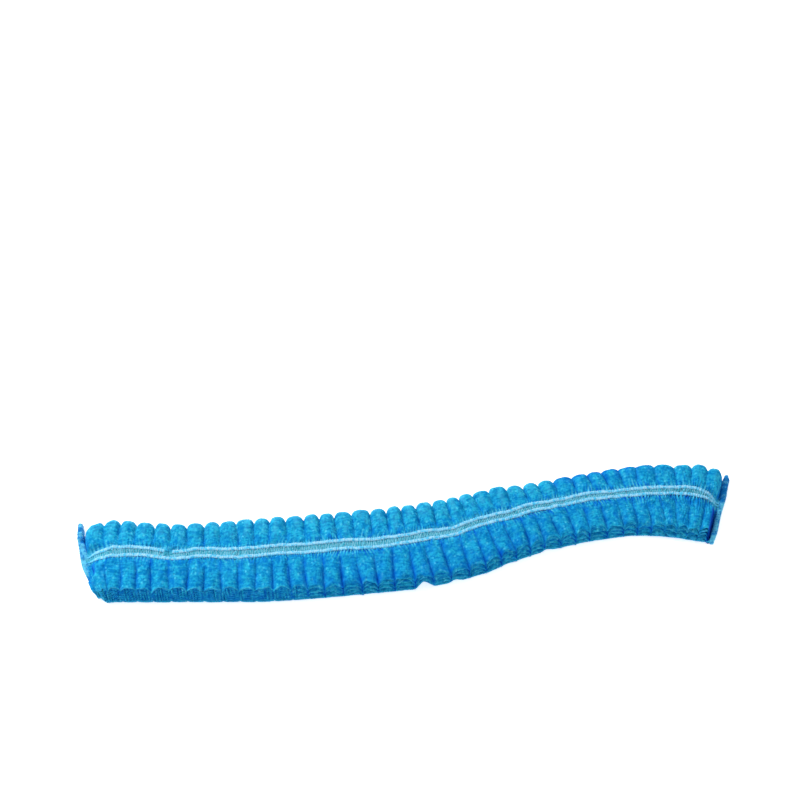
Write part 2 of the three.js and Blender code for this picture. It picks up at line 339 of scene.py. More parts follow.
def droop(s, share):
    # The ends of the ribs round off like fingertips: a quarter circle of the given reach
    def roundOff(inside, reach):
        return 1 - np.sqrt(1 - (1 - np.clip(inside / reach, 0, 1)) ** 2)

    inside = (1 - np.abs(share).clip(0, 1)) * np.where(share < 0, halfWidth(s, -1), halfWidth(s, 1))
    front = strip["frontDroop"] + strip["looseDroop"] * looseShare(s)
    front = front * roundOff(inside, strip["frontReach"])
    back = strip["backDroop"] * roundOff(inside, strip["backReach"])
    return np.where(share < 0, front, back)


# Gathers and wrinkles of the cloth
gathers = {
    "pitch": 0.00098,  # fine crimps along the strip
    "forks": (0.7, 0.0034, 0.005),  # how far they are shaken out of line, in pitches
    "atTape": 0.00026,  # their height beside the tape
    "insideTape": 0.4,  # share of it between the cords
    "tapeEdge": 0.0005,
    "fade": 0.0012,  # distance over which they fade from the tape
    "patches": (0.7, 0.0022, 0.003),
    "onPatches": (0.3, 1.3),  # share of the height between patches, and more on them
    "onRibs": 0.00005,
    "atEnd": 0.00022,  # their height where the ribs break up
    "atEndBack": 0.4,  # share of it behind the tape
    "atEndFade": 0.008,
    "inStack": 0.0002,
    "whiskers": (1.8, 0.0005, 0.006),  # tone of the pale ridges beside the tape, width and length
    "whiskerLeast": 0.3,  # share of it outside their clusters
    "whiskerReach": (0.0006, 0.0007),  # outside the clusters, and more in them
    "whiskerSpread": (0.45, 0.0009),
    "whiskerLean": (0.25, 0.02),
    "onFolds": (0.0002, 0.0004, 0.006),  # fine pleats
    "strayFold": (0.0002, 0.0035, 1),  # single folds stray in and out, each layer by itself
    "curl": 0.00042,  # and bunches of them where the front is loose
    "curlLayers": 4.4,  # layers from bunch to bunch
    "curlForks": (0.35, 0.006),
    "calm": 0.2,  # groove depth that is left at the tape
    "calmFront": 0.0085,  # distance over which the grooves grow from it
    "calmBack": 0.0042,
    "tapeDip": 0.00045,
    "dipRange": (-0.0004, 0.002),  # from all of the dip to none, measured from the tape's edge
    "puckerAt": 0.121,  # where a pucker of the cloth hides the back cord, along the strip
    "puckerLength": (0.00192, 0.00072),  # from its middle to its end, and all of it up to here
    "puckerWidth": 0.0014,
    "puckerHeight": 0.0005,
    "wrinkle": 0.00009,
    "wrinklePitch": 0.0014,  # faint lines across each rib
    "wrinkleForks": (0.8, 0.004, 0.004),
    "wrinklePatches": (0.5, 0.003, 0.005),
    "wrinkleFrom": 0.0026,  # distance from the tape with all of them
    "dents": (0.00007, 0.0017, 0.0019),
    "bigDents": (0.000105, 0.0036, 0.0042),
    "dentsAtTape": 0.3,
}


def crimp(s, across, seed=21):
    # Sine along the strip whose phase is shaken by noise, so that crimps fork and change width
    return np.sin(2 * math.pi * (s / gathers["pitch"] + softNoise(seed, s, across, gathers["forks"])))


def tapeMiddle(s):
    return readTable(tapePath, 1, s) * stripWidth


def cordGap(s):
    return readTable(tapePath, 2, s) * stripWidth


def tapeDistance(s, across):
    return np.abs(across - tapeMiddle(s)) - cordGap(s) - cordHalf


def pucker(s):
    end, full = gathers["puckerLength"]
    return ease((end - np.abs(s - gathers["puckerAt"] * stripLength)) / (end - full))


def whisker(s, across):
    # Pale ridges that stand out from the tape to both sides, of uneven strength and length, each
    # leaning its own way, with darker cloth between them
    gap, cluster = tapeDistance(s, across), readTable(whiskerShare, 1, s)
    shortest, more = gathers["whiskerReach"]
    spread = waver(45, s, gathers["whiskerSpread"]).clip(-0.63, 0.675)
    reach = (shortest + more * cluster) * (1 + spread)
    leaning = s + gap * waver(47, s, gathers["whiskerLean"])
    ridge = softNoise(49, leaning, across, gathers["whiskers"]).clip(-1.44, 3.6)
    return grow(gathers["whiskerLeast"], cluster) * ridge * np.exp(-gap.clip(0) / reach)


def endPleats(s):
    return ease((s - stripLength + strip["endPleats"]) / strip["pleatStart"])


def topSag(s, across):
    # How far the top layer lies below its crests: the groove, calmer at the tape, and the dip there
    gap, front = tapeDistance(s, across), across < tapeMiddle(s)
    calm = grow(gathers["calm"], ease(gap / np.where(front, gathers["calmFront"], gathers["calmBack"])))
    flat, more = strip["pleatCalm"]
    left = 1 - ease((s - strip["leftCalmFrom"]) / strip["leftCalmLength"])
    calm = calm * (1 - (flat + more * front) * endPleats(s)) * (1 - strip["leftCalm"] * left)
    frontness = np.clip(-across / stripWidth * 2, 0, 1) ** strip["frontPower"]
    swing = softNoise(31, s, across, strip["depthSwing"])
    depth = strip["grooveDepth"] * (1 + strip["frontDeeper"] * frontness + swing)
    inner, outer = gathers["dipRange"]
    dip = gathers["tapeDip"] * (1 - ease((gap - inner) / (outer - inner)))
    return depth * calm * ribSink(s, across) + dip


def topRelief(s, across):
    # Crimps that fade from the tape, patchy wrinkles across the ribs and a fine crumple
    gap = tapeDistance(s, across)
    away = ease(gap / gathers["wrinkleFrom"])
    beside = grow(gathers["insideTape"], ease(gap / gathers["tapeEdge"] + 1))
    beside = beside * np.exp(-gap.clip(0) / gathers["fade"])
    patch = ease(0.5 + softNoise(41, s, across, gathers["patches"]))
    least, more = gathers["onPatches"]
    height = gathers["atTape"] * beside * (least + more * patch) + gathers["onRibs"]
    atEnd = gathers["atEnd"] * endPleats(s) * np.where(across < tapeMiddle(s), 1, gathers["atEndBack"])
    up = crimp(s, across) * (height + atEnd * np.exp(-gap.clip(0) / gathers["atEndFade"]))
    forks = softNoise(51, s, across, gathers["wrinkleForks"])
    lines = np.sin(2 * math.pi * (across / gathers["wrinklePitch"] + forks))
    patch = ease(0.5 + softNoise(61, s, across, gathers["wrinklePatches"]))
    up = up + gathers["wrinkle"] * lines * away * patch
    dents = softNoise(71, s, across, gathers["dents"], 20) + softNoise(73, s, across, gathers["bigDents"])
    return up + grow(gathers["dentsAtTape"], away) * dents


def newPiece(name, points, faces, material, uv=None, marks=None):
    # One mesh from arrays: points, four-sided faces wound outward and named values per point
    mesh = bpy.data.meshes.new(name)
    points, faces = points.reshape(-1, 3), faces.reshape(-1, 4)
    mesh.vertices.add(len(points))
    mesh.vertices.foreach_set("co", points.astype(np.float32).ravel())
    mesh.loops.add(faces.size)
    mesh.loops.foreach_set("vertex_index", faces.astype(np.int32).ravel())
    mesh.polygons.add(len(faces))
    mesh.polygons.foreach_set("loop_start", np.arange(0, faces.size, 4, dtype=np.int32))
    mesh.update(calc_edges=True)
    mesh.polygons.foreach_set("use_smooth", np.full(len(faces), True))
    if uv is not None:
        layer = mesh.uv_layers.new(name="cloth")
        layer.data.foreach_set("uv", uv.reshape(-1, 2)[faces.ravel()].astype(np.float32).ravel())
    for key, values in (marks or {}).items():
        mark = mesh.attributes.new(key, "FLOAT", "POINT")
        mark.data.foreach_set("value", values.astype(np.float32).ravel())
    piece = bpy.data.objects.new(name, mesh)
    scene.collection.objects.link(piece)
    mesh.materials.append(material)
    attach(piece, "root")
    print("made", name, "with", 2 * len(faces), "triangles")
    return piece


def gridFaces(rows, columns, first=0, flip=False):
    # Four corners of each cell of a grid whose points are numbered row by row
    cell = first + (np.arange(rows - 1)[:, None] * columns + np.arange(columns - 1)).ravel()
    corners = np.stack([cell, cell + 1, cell + columns + 1, cell + columns], axis=1)
    return corners[:, ::-1] if flip else corners


def clothGrid(points, thickness):
    # A sheet with two faces that look outward: the second lies one thickness under the first
    # along the normals, and four rims close it
    rows, columns = points.shape[:2]
    normal = np.cross(np.gradient(points, axis=1), np.gradient(points, axis=0))
    normal /= np.linalg.norm(normal, axis=2, keepdims=True).clip(1e-12)
    under = points - thickness * normal
    count = rows * columns
    number = np.arange(count).reshape(rows, columns)
    rim = np.concatenate([number[0, :-1], number[:-1, -1], number[-1, :0:-1], number[:0:-1, 0]])
    ahead = np.roll(rim, -1)
    sides = np.stack([rim, rim + count, ahead + count, ahead], axis=1)
    faces = np.vstack([gridFaces(rows, columns), gridFaces(rows, columns, count, flip=True), sides])
    return np.stack([points, under]), faces


def clothUv(points):
    # Distances over the cloth in metres: along each row, and from row to row
    along = np.linalg.norm(np.diff(points, axis=1), axis=2).mean(0)
    aside = np.linalg.norm(np.diff(points, axis=0), axis=2).mean(1)
    u, v = np.meshgrid(np.concatenate([[0], np.cumsum(along)]), np.concatenate([[0], np.cumsum(aside)]))
    one = np.stack([u, v], axis=-1)
    return np.stack([one, one])


# Materials
def nodeMaterial(name):
    material = bpy.data.materials.new(name)
    material.use_nodes = True
    tree = material.node_tree
    tree.nodes.clear()
    return material, tree


def addNode(tree, kind, inputs=None, **settings):
    node = tree.nodes.new(kind)
    for key, value in settings.items():
        setattr(node, key, value)
    for key, value in (inputs or {}).items():
        if isinstance(value, bpy.types.NodeSocket):
            tree.links.new(value, node.inputs[key])
        else:
            node.inputs[key].default_value = value
    return node


def reckon(tree, operation, *values, clamp=False):
    node = addNode(tree, "ShaderNodeMath", dict(enumerate(values)), operation=operation, use_clamp=clamp)
    return node.outputs[0]


def mapRange(tree, value, source, target=(0.0, 1.0), kind="LINEAR"):
    return addNode(tree, "ShaderNodeMapRange", {
        "Value": value, "From Min": source[0], "From Max": source[1],
        "To Min": target[0], "To Max": target[1],
    }, interpolation_type=kind).outputs[0]


def mixColors(tree, share, first, second):
    inputs = {"Factor": share, 6: first, 7: second}
    return addNode(tree, "ShaderNodeMix", inputs, data_type="RGBA").outputs[2]


def mark(tree, name):
    return addNode(tree, "ShaderNodeAttribute", attribute_name=name).outputs["Fac"]


def noise(tree, place, scale, detail, roughness=0.5, space="3D"):
    return addNode(tree, "ShaderNodeTexNoise", {
        "Vector": place, "Scale": scale, "Detail": detail, "Roughness": roughness,
    }, noise_dimensions=space).outputs["Fac"]


def bump(tree, height, strength, distance, under=None, **settings):
    # A relief as high as the distance, on top of another one where it is given
    inputs = {"Height": height, "Strength": strength, "Distance": distance}
    if under:
        inputs["Normal"] = under
    return addNode(tree, "ShaderNodeBump", inputs, **settings).outputs[0]


def coverWith(tree, body, share=0.0, through=None):
    # Ends a material in its surface, of which a share may let light pass through
    surface = addNode(tree, "ShaderNodeBsdfPrincipled", body).outputs[0]
    if through:
        thin = addNode(tree, "ShaderNodeBsdfTranslucent", through).outputs[0]
        surface = addNode(tree, "ShaderNodeMixShader", {0: share, 1: surface, 2: thin}).outputs[0]
    addNode(tree, "ShaderNodeOutputMaterial", {"Surface": surface})


clothLook = {
    "deep": (0.0015, 0.28, 0.64, 1),
    "pale": (0.022, 0.55, 0.83, 1),
    "patchRange": (1.12, 1.48),  # from deep to pale: cloud, grain and wrinkles added up
    # paler colour of the bonding points: painted glints
    "dotGlintColor": (0.1, 0.76, 0.98, 1),
    "paintedShadeColor": (0.0002, 0.155, 0.77, 1),  # painted shade in grooves, between folds and beside the tape, also the darker cloth of the cloud and between whiskers
    "paintedShadeShare": 0.8,
    "creaseShadeColor": (0.0002, 0.045, 0.42, 1),  # painted shade in the deepest creases
    "highlightColor": (0.11, 0.66, 0.95, 1),  # painted highlight on folded and cut edges and on the tips, also the paler whiskers, fuzz and pucker
    "highlightShare": 0.6,
    "webDeep": (0.03, 0.4, 0.56, 1),  # seen through the lace of the tape
    "webPale": (0.12, 0.57, 0.75, 1),
    "webShare": 0.8,
    "cloudSize": 0.002,
    "cloudRoughness": 0.6,
    "grainSize": 0.0008,
    "crepeShare": 0.6,  # how much the wrinkles colour the cloth
    "dotPitch": 0.0016,  # bonding points
    "dotRange": (0.06, 0.48),  # a point fades over these distances, in pitches
    "dotShown": 0.55,  # the rest of them lie dull
    "dotCloud": (0.44, 0.56),  # and so do those in thin parts of the cloud
    "dotHeight": 0.0001,
    "fibreScale": 5200.0,
    "fibreHeight": 0.00006,
    "wrinkleAlong": 0.0032,
    "wrinkleAcross": 0.0008,
    "wrinkleHeight": 0.0003,
    "roughness": 0.7,
    "dotRoughness": 0.5,
    "specular": 0.03,
    "sheen": 0.05,
    "sheenRoughness": 0.4,
    "sheenColor": (0.1, 0.7, 1, 1),
    "through": 0.32,  # share of light that passes through
}


def clothMaterial():
    # Spunbonded cloth: cloudy fibre density, small bonded points with painted glints, fine fibres and
    # crepe wrinkles, and painted highlights and shade from the tone
    look = clothLook
    material, tree = nodeMaterial("nonwovenCloth")
    uv = addNode(tree, "ShaderNodeUVMap", uv_map="cloth").outputs["UV"]
    place = addNode(tree, "ShaderNodeTexCoord").outputs["Object"]
    tone = mark(tree, "tone")
    dots = addNode(tree, "ShaderNodeTexVoronoi", {
        "Vector": uv, "Scale": 1 / look["dotPitch"], "Randomness": 1.0}, voronoi_dimensions="2D")
    dot = mapRange(tree, dots.outputs["Distance"], look["dotRange"], (1.0, 0.0), "SMOOTHSTEP")
    chance = addNode(tree, "ShaderNodeSeparateColor", {"Color": dots.outputs["Color"]}).outputs[0]
    shown = mapRange(tree, chance, (1 - look["dotShown"], 1.0))
    cloud = noise(tree, place, 1 / look["cloudSize"], 3.0, look["cloudRoughness"])
    cluster = mapRange(tree, cloud, look["dotCloud"])
    dotShare = reckon(tree, "MULTIPLY", reckon(tree, "MULTIPLY", dot, shown), cluster)
    grain = noise(tree, place, 1 / look["grainSize"], 2.0)
    stretched = addNode(tree, "ShaderNodeMapping", {
        "Vector": uv, "Scale": (1 / look["wrinkleAlong"], 1 / look["wrinkleAcross"], 1)}).outputs[0]
    crepe = noise(tree, stretched, 1.0, 2.0, space="2D")
    mottle = reckon(tree, "MULTIPLY_ADD", crepe, look["crepeShare"], reckon(tree, "ADD", cloud, grain))
    patch = mapRange(tree, mottle, look["patchRange"])
    color = mixColors(tree, patch, look["deep"], look["pale"])
    # the shown bonding points are painted paler as glints
    color = mixColors(tree, dotShare, color, look["dotGlintColor"])
    # where the tone is above 0 the colour turns towards the painted highlight
    edge = reckon(tree, "MULTIPLY", tone, look["highlightShare"], clamp=True)
    color = mixColors(tree, edge, color, look["highlightColor"])
    # where the tone is below 0 the colour turns towards the painted shade
    shadeMix = reckon(tree, "MULTIPLY", tone, -look["paintedShadeShare"], clamp=True)
    color = mixColors(tree, shadeMix, color, look["paintedShadeColor"])
    # below a tone of -1 the colour turns towards the deeper painted shade of the creases
    crease = reckon(tree, "MULTIPLY_ADD", tone, -1.0, -1.0, clamp=True)
    color = mixColors(tree, crease, color, look["creaseShadeColor"])
    web = reckon(tree, "MULTIPLY", mark(tree, "web"), look["webShare"], clamp=True)
    color = mixColors(tree, web, color, mixColors(tree, patch, look["webDeep"], look["webPale"]))
    gloss = mapRange(tree, dotShare, (0.0, 1.0), (look["roughness"], look["dotRoughness"]))
    fibres = noise(tree, uv, look["fibreScale"], 3.0, space="2D")
    relief = bump(tree, crepe, 1.0, look["wrinkleHeight"])
    relief = bump(tree, fibres, 0.5, look["fibreHeight"], relief)
    relief = bump(tree, dot, 0.25, look["dotHeight"], relief, invert=True)
    coverWith(tree, {
        "Base Color": color, "Roughness": gloss, "Normal": relief,
        "Specular IOR Level": look["specular"], "Sheen Weight": look["sheen"],
        "Sheen Roughness": look["sheenRoughness"], "Sheen Tint": look["sheenColor"],
    }, look["through"], {"Color": color, "Normal": relief})
    return material


yarnLook = {
    "thread": (0.31, 0.62, 0.82, 1),
    "shade": (0.04, 0.46, 0.76, 1),
    "shadeScale": 900.0,
    "shadeRange": (0.4, 0.62),
    "lace": (0.3, 0.66, 0.84, 1),  # thin, so the cloth under it shows through
    "endColor": (0.06, 0.5, 0.8, 1),  # melted into the cloth at the seals
    "endShare": 0.8,
    "fuzzScale": 4200.0,
    "fuzzHeight": 0.00008,
    "roughness": 0.75,
    "specular": 0.3,
    "sheen": 0.05,
}


def yarnMaterial():
    # White yarn over a rubber core, with patches where blue cloth fuzz lies over it
    look = yarnLook
    material, tree = nodeMaterial("elasticYarn")
    place = addNode(tree, "ShaderNodeTexCoord").outputs["Object"]
    shaded = mapRange(tree, noise(tree, place, look["shadeScale"], 3.0, 0.65), look["shadeRange"])
    color = mixColors(tree, shaded, look["thread"], look["shade"])
    color = mixColors(tree, mark(tree, "tone"), color, look["lace"])
    melted = reckon(tree, "MULTIPLY", mark(tree, "blue"), look["endShare"])
    color = mixColors(tree, melted, color, look["endColor"])
    relief = bump(tree, noise(tree, place, look["fuzzScale"], 3.0), 0.6, look["fuzzHeight"])
    coverWith(tree, {"Base Color": color, "Roughness": look["roughness"], "Normal": relief,
                     "Specular IOR Level": look["specular"], "Sheen Weight": look["sheen"]})
    return material


fusedLook = {
    "color": (0.001, 0.2, 0.58, 1),
    "rimColor": (0.12, 0.6, 0.86, 1),
    "mottleScale": 480.0,
    "mottleRange": (0.44, 0.57),
    "pitScale": 1100.0,
    "pitHeight": 0.0001,
    "roughness": 0.6,
    "specular": 0.1,
    "through": 0.25,
}


def fusedMaterial():
    # Melted layers: smoother and a little glassy, paler where the press left them thin
    look = fusedLook
    material, tree = nodeMaterial("fusedCloth")
    place = addNode(tree, "ShaderNodeTexCoord").outputs["Object"]
    mottle = reckon(tree, "ADD", mark(tree, "tone"), noise(tree, place, look["mottleScale"], 5.0, 0.7))
    color = mixColors(tree, mapRange(tree, mottle, look["mottleRange"]), look["color"], look["rimColor"])
    pits = addNode(tree, "ShaderNodeTexVoronoi", {
        "Vector": place, "Scale": look["pitScale"], "Randomness": 0.5}).outputs["Distance"]
    relief = bump(tree, pits, 0.7, look["pitHeight"])
    coverWith(tree, {"Base Color": color, "Roughness": look["roughness"], "Normal": relief,
                     "Specular IOR Level": look["specular"]}, look["through"], {"Color": color})
    return material


cloth, yarn, fused = clothMaterial(), yarnMaterial(), fusedMaterial()
print("materials ready")

# The folded sheet
sheet = {
    "layers": 15,
    "thickness": 0.0001,
    "cutLength": 0.322,  # cloth from seal to seal before it is gathered
    "layerCut": 0.035,  # cloth from fold to fold
    "floorGap": 0.0002,
    "lowest": 0.0003,  # level of the last layer
    "flatReach": 0.93,  # share of the half width from which a layer turns into its fold
    "topColumns": 1150,
    "stackColumns": 1150,
    "underColumns": 900,
    "topRows": 70,
    "rowShift": 0.35,  # the top's rows are closer at the tape and the edges
    "underRows": 26,
    "foldRows": {"top": 6, "stack": 3, "under": 5},
    "ruffle": (0.00035, 0.0022),  # of the cut edge
    "seam": 0.0015,  # where the top's two pieces meet, behind the middle line
    "underBulge": 0.28,
    "underScallop": 0.65,
    "underGroove": 0.0009,
    "underTape": (0.0006, -0.0002, 0.0013),  # rise over the lower tape: height, all of it, none
    "underCrimp": 0.00009,
    "underDent": 0.00006,
}
stack = {  # the pleats between the top and the underside
    "pressedOut": 0.3,  # share of a fold's round that is left where the front is pressed
    "backFade": 0.35,  # share of the back scallops that is lost on the way down
    "ownShift": 0.013,  # from pleat to pleat, so that each strays by itself
    "strayLeast": 0.2,  # share of the straying where the front is pressed
    "curlBack": 0.3,
    "pleatCalm": 0.6,  # share of the fine pleats that is lost where the front is loose
    "endCurl": (0.0004, 0.0005, 0.0037),  # at the right end: reach, swing and pitch
    "endBack": 0.0005,  # how far the upper folds stand back there
    "topBack": 0.0004,  # and the uppermost everywhere
    "swell": 1.1,  # share by which the pressed folds are higher than loose ones
    "foldCalm": 0.85,  # share of the crimps that is lost at the front folds
}
tones = {  # above 0 mostly a painted highlight, below 0 mostly painted shade, darker and bluer; the cloud, whiskers, fuzz and pucker add paler and darker cloth
    "deep": 0.4,  # painted shade, taken off in the stack and the underside
    "fold": 0.9,
    "inner": 0.45,  # painted shade, taken off in the stack
    "under": 0.5,
    "tapeEnd": 0.5,
    "curl": 800,  # per metre of reach
    "pleat": 1000,
    "tuck": 300,
    "looseGroove": 1.5,
    "corner": 0.65,
    "endBand": 0.35,
    "cutEdge": 0.7,
    "backTip": 1.45,
    "tipLine": 0.5,
    "groove": 0.5,
    "besideFront": 0.35,
    "besideBack": 0.15,
    "fuzzFront": 0.3,  # of the cords
    "fuzzBack": 0.6,
    # painted light on the back half and painted shade on the front half
    "back": 0.25,
    "front": 0.1,
    "straightBack": 0.5,  # painted shade, taken off where the back edge has hardly any scallops
    "cloud": (0.12, 0.0022, 0.003),
    "pucker": 0.6,
}
lastLayer = sheet["layers"] - 1
layerPitch = (strip["height"] - sheet["lowest"]) / lastLayer


def layerLevel(layer):
    return strip["height"] - layer * layerPitch


def foldTurn(layer, side, rows):
    # Half circle from one layer down to the next, at the front (-1) or back (1) edge
    angle = np.linspace(math.pi / 2, -math.pi / 2, rows + 2)[1:-1]
    radius = layerPitch / 2
    out = side * radius * (np.cos(angle) - 1)
    depth = layer + 0.5 - 0.5 * np.sin(angle)
    return np.stack([np.full(rows, float(side)), out, depth], axis=1)


def stackPath(first, last):
    # Rows of the folded sheet from the middle of one layer to the middle of another: place across
    # as a share of the half width, a step outward at the folds, and the layer as a running number
    rows = []
    for layer in range(first, last + 1):
        side = 1 if layer % 2 == 0 else -1
        flats = [-sheet["flatReach"] * side, sheet["flatReach"] * side]
        if layer == first:
            flats[0] = 0
        if layer == last:
            flats[1] = 0
        rows += [np.array([[share, 0, layer] for share in flats])]
        if layer < last:
            rows += [foldTurn(layer, side, sheet["foldRows"]["stack"])]
    return np.vstack(rows)


def foldTone(share, depth, strength=1):
    # Painted highlight on the round of a fold, where the layer number is halfway, and painted shade
    # between the folds
    onRound = np.sin(math.pi * (depth % 1)).clip(0) ** 2
    pale = tones["fold"] * (0.4 + strength * (onRound - 0.4))
    return np.where(np.abs(share) > 0.98, pale, 0) - tones["deep"]


def acrossOf(share, out, s, ribs=1, raised=0):
    # The grooves cut blunt scallops into the back edge and bulge at the front, where ribs is
    # negative; the front edge slopes back with height and a few notches cut into its foot
    half = np.where(share < 0, halfWidth(s, -1) - strip["frontSlope"] * raised, halfWidth(s, 1))
    notch = 0 * s
    for along, depth, reach in footNotches:
        notch = notch + depth * ease(1 - np.abs(s - along * stripLength) / reach)
    half = half - np.where(share < 0, notch * (1 - raised) ** strip["notchPower"], 0)
    ribs = ribs * np.where(share < 0, 1, readTable(backScallop, 1, s))
    scallop = strip["scallop"] * ribSink(s, share * half) ** strip["tipBluntness"]
    return share * (half - ribs * scallop) + out


def frontScallop(s):
    bulge, more = strip["frontBulge"]
    return -bulge - more * looseShare(s)


def paintedCreaseShade(s, across):
    # Painted shade in the creases beside the seals, more of it in front of the tape and on the right, and
    # paler where the tape runs into them
    front, bridge = 1.0 * (across < tapeMiddle(s)), tapeBridge(s, across)
    left = (0.4 + 0.5 * front) * (1 - cornerSwell(across))
    deep = np.where(s < stripLength / 2, left, 0.3 + 1.5 * front)
    away = ease(fromSeal(s) / 0.0026 - 0.1)
    return (deep * (1 - bridge) - tones["tapeEnd"] * bridge) * (1 - away)


def stackTone(share, depth, s, across, edge, curl, pleat, tuck):
    # Painted highlight on folds that stand out and painted shade on those that stand back, between the
    # folds, in the creases and in the loose front's grooves, which get more of it
    below, loose, front, end = depth / lastLayer, looseShare(s), share < 0, endPleats(s)
    tone = foldTone(share, depth, grow(0.1, loose))
    tone = tone + np.abs(edge) * (tones["curl"] * curl + tones["pleat"] * pleat * front)
    sink = tones["looseGroove"] * loose * (1 - 0.6 * end) * ribSink(s, across) ** 2 * front
    tone = tone - tones["inner"] + 0.15 * loose - sink - paintedCreaseShade(s, across)
    tone = tone + tones["tuck"] * tuck * front + loose * (0.3 * (1 - below) ** 2 + 0.4 * below)
    tone = tone + tones["corner"] * cornerSwell(across) * (1 - ease(s / 0.008))
    return tone + tones["endBand"] * end * front * bell((depth - 3) / 2)


def stackPoints(path, s):
    # Inner layers follow the top's sag less and less with depth, the crimps are nested, and each
    # fold edge strays in and out by itself
    share, out, depth = (path[:, i, None] for i in range(3))
    s, front, below = s[None, :], share < 0, depth / lastLayer
    loose = looseShare(s)
    out = out * np.where(front, grow(stack["pressedOut"], loose), 1)
    bulges = (1 - below) ** (1.7 - 1.3 * loose) * frontScallop(s)
    across = acrossOf(share, out, s, np.where(front, bulges, 1 - stack["backFade"] * below), 1 - below)
    edge = np.sign(share) * np.abs(share) ** 8
    stray = softNoise(81, s + stack["ownShift"] * np.round(depth / 2), depth, gathers["strayFold"])
    stray = grow(stack["strayLeast"], loose) * stray
    curl = np.sin(2 * math.pi * (depth / gathers["curlLayers"] + waver(83, s, gathers["curlForks"])))
    curl = gathers["curl"] * loose * curl * np.where(front, 1, stack["curlBack"])
    pleat = softNoise(87, s, depth * layerPitch, gathers["onFolds"], 24)
    pleat = (1 - stack["pleatCalm"] * loose) * pleat
    # At the right end the upper folds stand back and the lower ones bulge in small curls
    reach, swing, pitch = stack["endCurl"]
    bulge = reach + swing * np.cos(2 * math.pi * s / pitch + waver(89, s, (1, 0.006)))
    tuck = endPleats(s) * (bulge * bell((depth - 9) / 2) - stack["endBack"] * bell((depth - 4) / 2.2))
    across = across + edge * (stray + curl + pleat + tuck * front - stack["topBack"] * (1 - below) ** 4)
    # Pressed folds are swollen until they touch, so that their wall is whole
    pressed = (1 - loose) * front * (np.abs(share) > 0.98)
    up = layerLevel(depth + pressed * stack["swell"] * (depth % 1 - 0.5))
    up = up - (1 - below) ** (1.9 - 1.2 * loose) * (topSag(s, across) + droop(s, share))
    calm = (1 - stack["foldCalm"] * (share < -0.9)) * (1 - 0.5 * below)
    up = (up + gathers["inStack"] * calm * crimp(s, across, 23)).clip(sheet["floorGap"])
    # Between the folds the layers stay under the tape, also where it runs down to the seals
    level = pinch(s, across)
    level = np.where(np.abs(share) < 0.95, np.minimum(level, tapeEnd(s)), level)
    return layCloth(s, across, up * level), stackTone(share, depth, s, across, edge, curl, pleat, tuck)


def clothPiece(name, points, tone, web=0):
    # One sheet of the crown: points row by row, and for each of them a tone and the share that is under
    # the tape
    grid, faces = clothGrid(points, sheet["thickness"])
    marks = {"tone": tone, "web": web}
    marks = {key: np.stack([value + 0 * points[..., 0]] * 2) for key, value in marks.items()}
    piece = newPiece(name, grid, faces, cloth, clothUv(points), marks)
    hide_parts("crown")


def clothLength(columns):
    return np.linspace(-strip["intoSeal"], stripLength + strip["intoSeal"], columns)


def topTone(s, across, share, depth, puckered):
    # Painted highlight at the edges and tips, pale whiskers and fuzz of the cords, painted shade in the
    # grooves, beside the tape, in the creases, on the front half and where the back edge is straight, and
    # painted light on the back half
    gap, front = tapeDistance(s, across), across < tapeMiddle(s)
    loose, kept = looseShare(s), readTable(backScallop, 1, s)
    tone = (tones["cutEdge"] - 0.45 * loose) * ease((-share - 0.955) / 0.035)
    tone = tone + (tones["backTip"] * kept - 0.5) * ease((share - 0.88) / 0.1) * (1 - 0.7 * depth).clip(0)
    tone = tone + tones["tipLine"] * kept * bell((share - 1) / 0.02) * bell(depth / 0.3)
    middle = loose * (1 - ease((s - 0.155) / 0.02)) * np.clip(-share, 0, 1)
    groove = ribSink(s, across) ** 1.5 * ease(gap / 0.002)
    groove = groove * (1 - cornerSwell(across) * (1 - ease(s / 0.003)))
    tone = tone + whisker(s, across) * (gap > -0.0004) - (tones["groove"] + 0.45 * middle) * groove
    beside = np.where(front, tones["besideFront"], tones["besideBack"])
    beside = beside * np.exp(-gap.clip(0) / np.where(front, 0.002, 0.003))
    fuzz = np.where(front, tones["fuzzFront"], tones["fuzzBack"]) * bell((gap - 0.0001) / 0.0005)
    tone = tone - beside - paintedCreaseShade(s, across) + fuzz
    tone = tone + tones["back"] * ease(share * 1.4 - 0.3) * kept - tones["front"] * (share < 0)
    straight = (1 - kept) * ease((share - 0.4) / 0.55) * (1 - 0.8 * depth)
    tone = tone - tones["straightBack"] * straight - 0.3 * middle * ease((-share - 0.7) / 0.3)
    return tone + softNoise(93, s, across, tones["cloud"]) + tones["pucker"] * puckered


